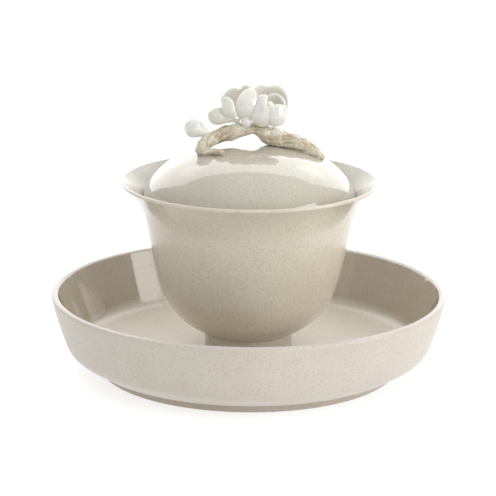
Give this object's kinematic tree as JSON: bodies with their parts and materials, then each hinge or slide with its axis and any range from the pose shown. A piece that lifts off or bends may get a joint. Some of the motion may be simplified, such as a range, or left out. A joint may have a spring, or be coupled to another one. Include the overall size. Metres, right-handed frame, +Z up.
{
  "type": "gaiwan",
  "caption": "Tea bowl with a flared lip, a domed lid with a sculpted magnolia branch as its knob, and a wide steep-walled saucer dish.",
  "frame": {"origin": "on the turning axis of the dish and bowl, in the plane that the dish's foot ring stands on", "axes": "+Z up along the turning axis; +X along the knob's branch, towards its long tapering end; +Y away from the side that the flowers face"},
  "size_m": [0.151, 0.151, 0.1102],
  "materials": {
    "dish_glaze": "oatmeal glaze with fine specks, satin",
    "bowl_glaze": "oatmeal glaze with fine specks, semi-gloss",
    "lid_glaze": "oatmeal glaze with fine specks, glossy",
    "branch_glaze": "brown-beige bark glaze, glossy",
    "petal_glaze": "translucent white porcelain glaze, glossy",
    "pistil_glaze": "pale yellow glaze, glossy"
  },
  "bodies": {
    "dish": {"dish": "dish_glaze"},
    "bowl": {"bowl": "bowl_glaze"},
    "lid": {"lid_dome": "lid_glaze", "branch": "branch_glaze", "side_root": "branch_glaze", "left_bud": "petal_glaze", "middle_bud": "petal_glaze", "left_flower_core": "petal_glaze", "right_flower_core": "petal_glaze", "right_flower_pistil": "pistil_glaze", "left_flower_front_petal": "petal_glaze", "left_flower_left_petal": "petal_glaze", "left_flower_back_petal": "petal_glaze", "left_flower_tip_petal": "petal_glaze", "left_flower_right_petal": "petal_glaze", "right_flower_front_left_petal": "petal_glaze", "right_flower_front_right_petal": "petal_glaze", "right_flower_left_petal": "petal_glaze", "right_flower_right_petal": "petal_glaze", "right_flower_back_left_petal": "petal_glaze", "right_flower_back_right_petal": "petal_glaze"}
  },
  "joints": [
    {"name": "bowl_lift", "type": "slide", "parent": "dish", "child": "bowl", "axis": [0, 0, 1], "range_m": [0, 0.06]},
    {"name": "lid_lift", "type": "slide", "parent": "bowl", "child": "lid", "axis": [0, 0, 1], "range_m": [0, 0.04]}
  ]
}
